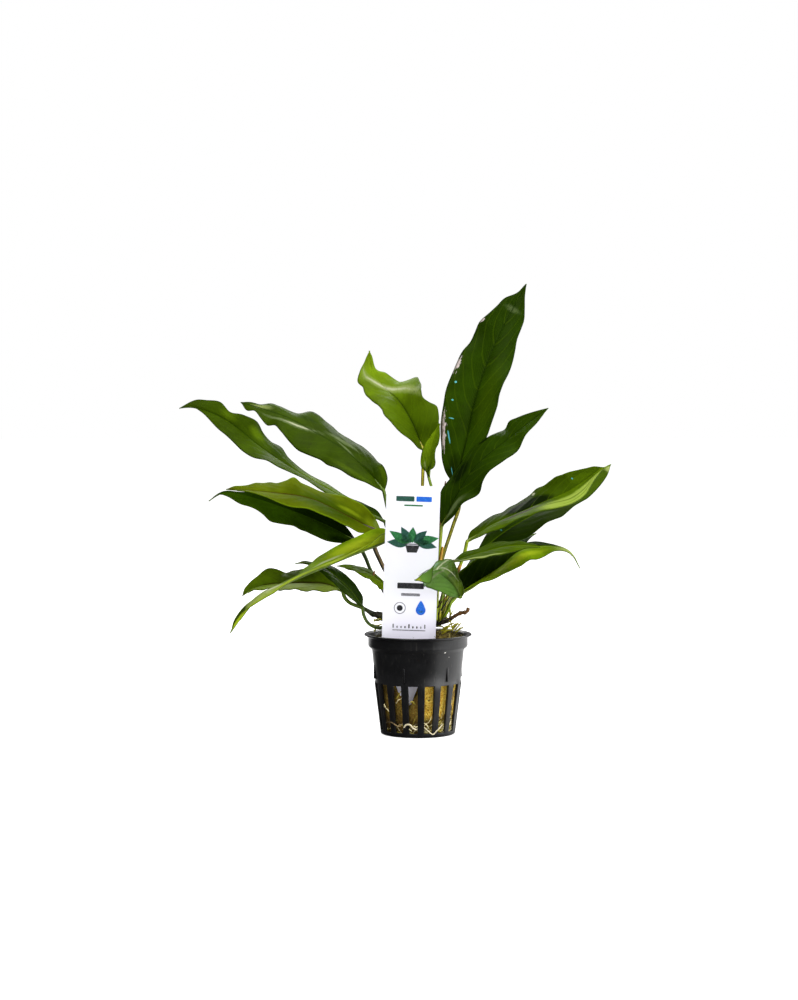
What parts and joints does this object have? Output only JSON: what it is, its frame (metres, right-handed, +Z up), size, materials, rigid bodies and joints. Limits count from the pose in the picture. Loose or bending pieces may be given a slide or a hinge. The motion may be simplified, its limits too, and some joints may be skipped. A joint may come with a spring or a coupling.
{
  "type": "potted minima anubias",
  "caption": "Potted dwarf anubias aquarium plant: long dark green leaves on thin stalks from a creeping stem, in a small slotted black net pot of rock wool with a tall plain plant tag.",
  "frame": {"origin": "centre of the pot's base disc, on the face that it stands on", "axes": "+Z up along the pot's axis, -Y towards the side that the plant tag faces, +X to the right as seen from there"},
  "size_m": [0.2237, 0.1038, 0.2301],
  "materials": {
    "leaf": "living leaf, satin wax skin, dark to yellow green",
    "stalk": "living leaf stalk, satin yellow green to brown",
    "rhizome": "rough dark olive brown creeping stem",
    "dead_stem": "dry dark brown plant tissue",
    "root": "cream white living root",
    "root_brown": "brown root",
    "wool": "matte matted mineral fibres, yellow brown",
    "pot_plastic": "black moulded plastic, satin",
    "label_card": "satin white plastic tag"
  },
  "bodies": {
    "root": {"net_pot": "pot_plastic", "rock_wool": "wool", "rhizome": "rhizome", "old_stem": "dead_stem", "dry_sheath": "dead_stem", "plant_label": "label_card", "root_front_arch": "root", "root_front_cross": "root", "root_right_rise": "root", "root_left_brown": "root_brown", "leaf_01_far_left": "leaf", "stalk_01_far_left": "stalk", "leaf_02_upper_left": "leaf", "stalk_02_upper_left": "stalk", "leaf_03_mid_left": "leaf", "stalk_03_mid_left": "stalk", "leaf_04_under_left": "leaf", "stalk_04_under_left": "stalk", "leaf_05_front_left": "leaf", "stalk_05_front_left": "stalk", "leaf_06_low_left": "leaf", "stalk_06_low_left": "stalk", "leaf_07_low_inner_left": "leaf", "stalk_07_low_inner_left": "stalk", "leaf_08_back_left": "leaf", "stalk_08_back_left": "stalk", "leaf_09_top_left": "leaf", "stalk_09_top_left": "stalk", "leaf_10_young_centre": "leaf", "stalk_10_young_centre": "stalk", "leaf_11_tall_right": "leaf", "stalk_11_tall_right": "stalk", "leaf_12_front_of_tall": "leaf", "stalk_12_front_of_tall": "stalk", "leaf_13_upper_right": "leaf", "stalk_13_upper_right": "stalk", "leaf_14_back_right": "leaf", "stalk_14_back_right": "stalk", "leaf_15_front_right": "leaf", "stalk_15_front_right": "stalk", "leaf_16_low_right": "leaf", "stalk_16_low_right": "stalk", "leaf_17_over_label": "leaf", "stalk_17_over_label": "stalk", "leaf_18_hidden_right": "leaf", "stalk_18_hidden_right": "stalk"}
  },
  "joints": []
}
